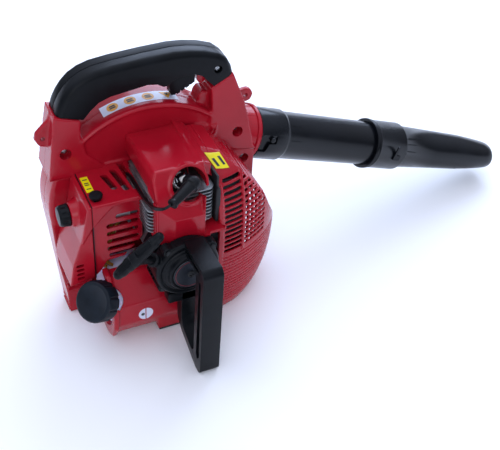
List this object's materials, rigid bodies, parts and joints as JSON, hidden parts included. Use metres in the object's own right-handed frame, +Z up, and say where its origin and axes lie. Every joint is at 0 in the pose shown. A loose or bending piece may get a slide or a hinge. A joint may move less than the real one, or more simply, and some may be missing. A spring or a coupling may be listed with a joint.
{
  "type": "leaf blower",
  "caption": "Hand-held petrol leaf blower: round fan case, top grip with trigger, small engine with pull starter, fuel tank, second-hand loop and long blower tube.",
  "frame": {"origin": "under the middle of the bounding box, on the ground the machine stands on", "axes": "+X towards the nozzle, +Y the air intake side, -Y the engine side, +Z up"},
  "size_m": [0.7308, 0.2733, 0.346],
  "materials": {
    "gloss_red": "gloss",
    "black_plastic": "satin",
    "soft_black": "matte",
    "milky_plastic": "satin",
    "bright_steel": "satin",
    "cast_alloy": "cast",
    "dark_steel": "matte",
    "brass": "satin",
    "ceramic": "gloss",
    "fuel_hose": "satin",
    "filter_foam": "open foam",
    "rope_fibre": "woven"
  },
  "bodies": {
    "machine": {"outlet_ring": "gloss_red", "fan_case_engine_side": "gloss_red", "fan_case_intake_side": "gloss_red", "handle_housing_engine_side": "gloss_red", "handle_housing_intake_side": "gloss_red", "carburettor_cover": "gloss_red", "air_cleaner_cover": "gloss_red", "cylinder_cover": "gloss_red", "muffler_guard": "gloss_red", "tank_guard": "gloss_red", "grip_engine_side": "black_plastic", "grip_intake_side": "black_plastic", "ignition_coil": "black_plastic", "intake_manifold": "black_plastic", "recoil_starter_housing": "black_plastic", "starter_label_disc": "black_plastic", "loop_handle": "black_plastic", "intake_guard": "black_plastic", "spark_plug_boot": "soft_black", "ignition_lead": "soft_black", "front_foot_rubber": "soft_black", "fuel_tank": "milky_plastic", "main_bearing_fan_side": "bright_steel", "main_bearing_starter_side": "bright_steel", "case_screw_rear": "bright_steel", "case_screw_front": "bright_steel", "case_screw_low": "bright_steel", "grip_screw": "bright_steel", "crankcase": "cast_alloy", "cylinder": "cast_alloy", "carburettor": "cast_alloy", "muffler": "dark_steel", "muffler_heat_shield": "dark_steel", "spark_plug": "ceramic", "fuel_line_feed": "fuel_hose", "fuel_line_return": "fuel_hose", "air_filter_element": "filter_foam"},
    "crank": {"fan_impeller": "black_plastic", "fan_nut": "bright_steel", "flywheel": "cast_alloy", "crankshaft": "bright_steel"},
    "trigger": {"throttle_trigger": "black_plastic"},
    "throttle": {"throttle_arm": "brass"},
    "stop_button": {"stop_switch": "gloss_red"},
    "choke": {"choke_lever": "black_plastic"},
    "knob": {"cover_knob": "black_plastic"},
    "cap": {"fuel_cap": "black_plastic"},
    "pull": {"pull_handle": "black_plastic", "starter_rope": "rope_fibre"},
    "reel": {"starter_reel": "milky_plastic"},
    "piston_body": {"piston": "cast_alloy"},
    "tube": {"blower_tube": "black_plastic"},
    "nozzle_body": {"nozzle": "black_plastic"}
  },
  "joints": [
    {"name": "crank_spin", "type": "hinge", "parent": "machine", "child": "crank", "pos_m": [-0.2275, 0.0805, 0.134], "axis": [0, 1, 0], "continuous": true},
    {"name": "trigger_squeeze", "type": "hinge", "parent": "machine", "child": "trigger", "pos_m": [-0.1635, 0.0805, 0.316], "axis": [0, 1, 0], "range_deg": [0, 12], "stiffness_Nm_per_rad": 0.4, "springref_deg": -8.59},
    {"name": "throttle_turn", "type": "hinge", "parent": "machine", "child": "throttle", "pos_m": [-0.2875, -0.0085, 0.194], "axis": [0, 1, 0], "range_deg": [0, 60]},
    {"name": "stop_press", "type": "slide", "parent": "machine", "child": "stop_button", "axis": [0, 0, 1], "range_m": [0, 0.004], "stiffness_N_per_m": 300, "springref_m": -0.002},
    {"name": "choke_swing", "type": "hinge", "parent": "machine", "child": "choke", "pos_m": [-0.3125, -0.0005, 0.174], "axis": [-1, 0, 0], "range_deg": [0, 12]},
    {"name": "knob_turn", "type": "hinge", "parent": "machine", "child": "knob", "pos_m": [-0.3448, 0.0215, 0.176], "axis": [-1, 0, 0], "range_deg": [0, 720]},
    {"name": "cap_turn", "type": "hinge", "parent": "machine", "child": "cap", "pos_m": [-0.3315, -0.0395, 0.079], "axis": [-0.721, -0.4206, 0.5507], "range_deg": [0, 450]},
    {"name": "pull_start", "type": "slide", "parent": "machine", "child": "pull", "axis": [-0.6916, -0.3508, 0.6314], "range_m": [0, 0.034], "stiffness_N_per_m": 60, "springref_m": -0.05},
    {"name": "reel_spin", "type": "hinge", "parent": "machine", "child": "reel", "pos_m": [-0.2275, -0.0605, 0.134], "axis": [0, 1, 0], "range_deg": [0, 97.5]},
    {"name": "piston_stroke", "type": "slide", "parent": "machine", "child": "piston_body", "axis": [0, 0, -1], "range_m": [0, 0.028]},
    {"name": "tube_twist", "type": "hinge", "parent": "machine", "child": "tube", "pos_m": [-0.0825, 0.0955, 0.1865], "axis": [0.9438, 0, -0.3305], "range_deg": [0, 35]},
    {"name": "nozzle_twist", "type": "hinge", "parent": "tube", "child": "nozzle_body", "pos_m": [-0.0825, 0.0955, 0.1865], "axis": [0.9438, 0, -0.3305], "range_deg": [0, 40]}
  ],
  "couplings": [
    {"joint": "throttle_turn", "follows": "trigger_squeeze", "ratio": 5},
    {"joint": "reel_spin", "follows": "pull_start", "rad_per_m": 50}
  ]
}
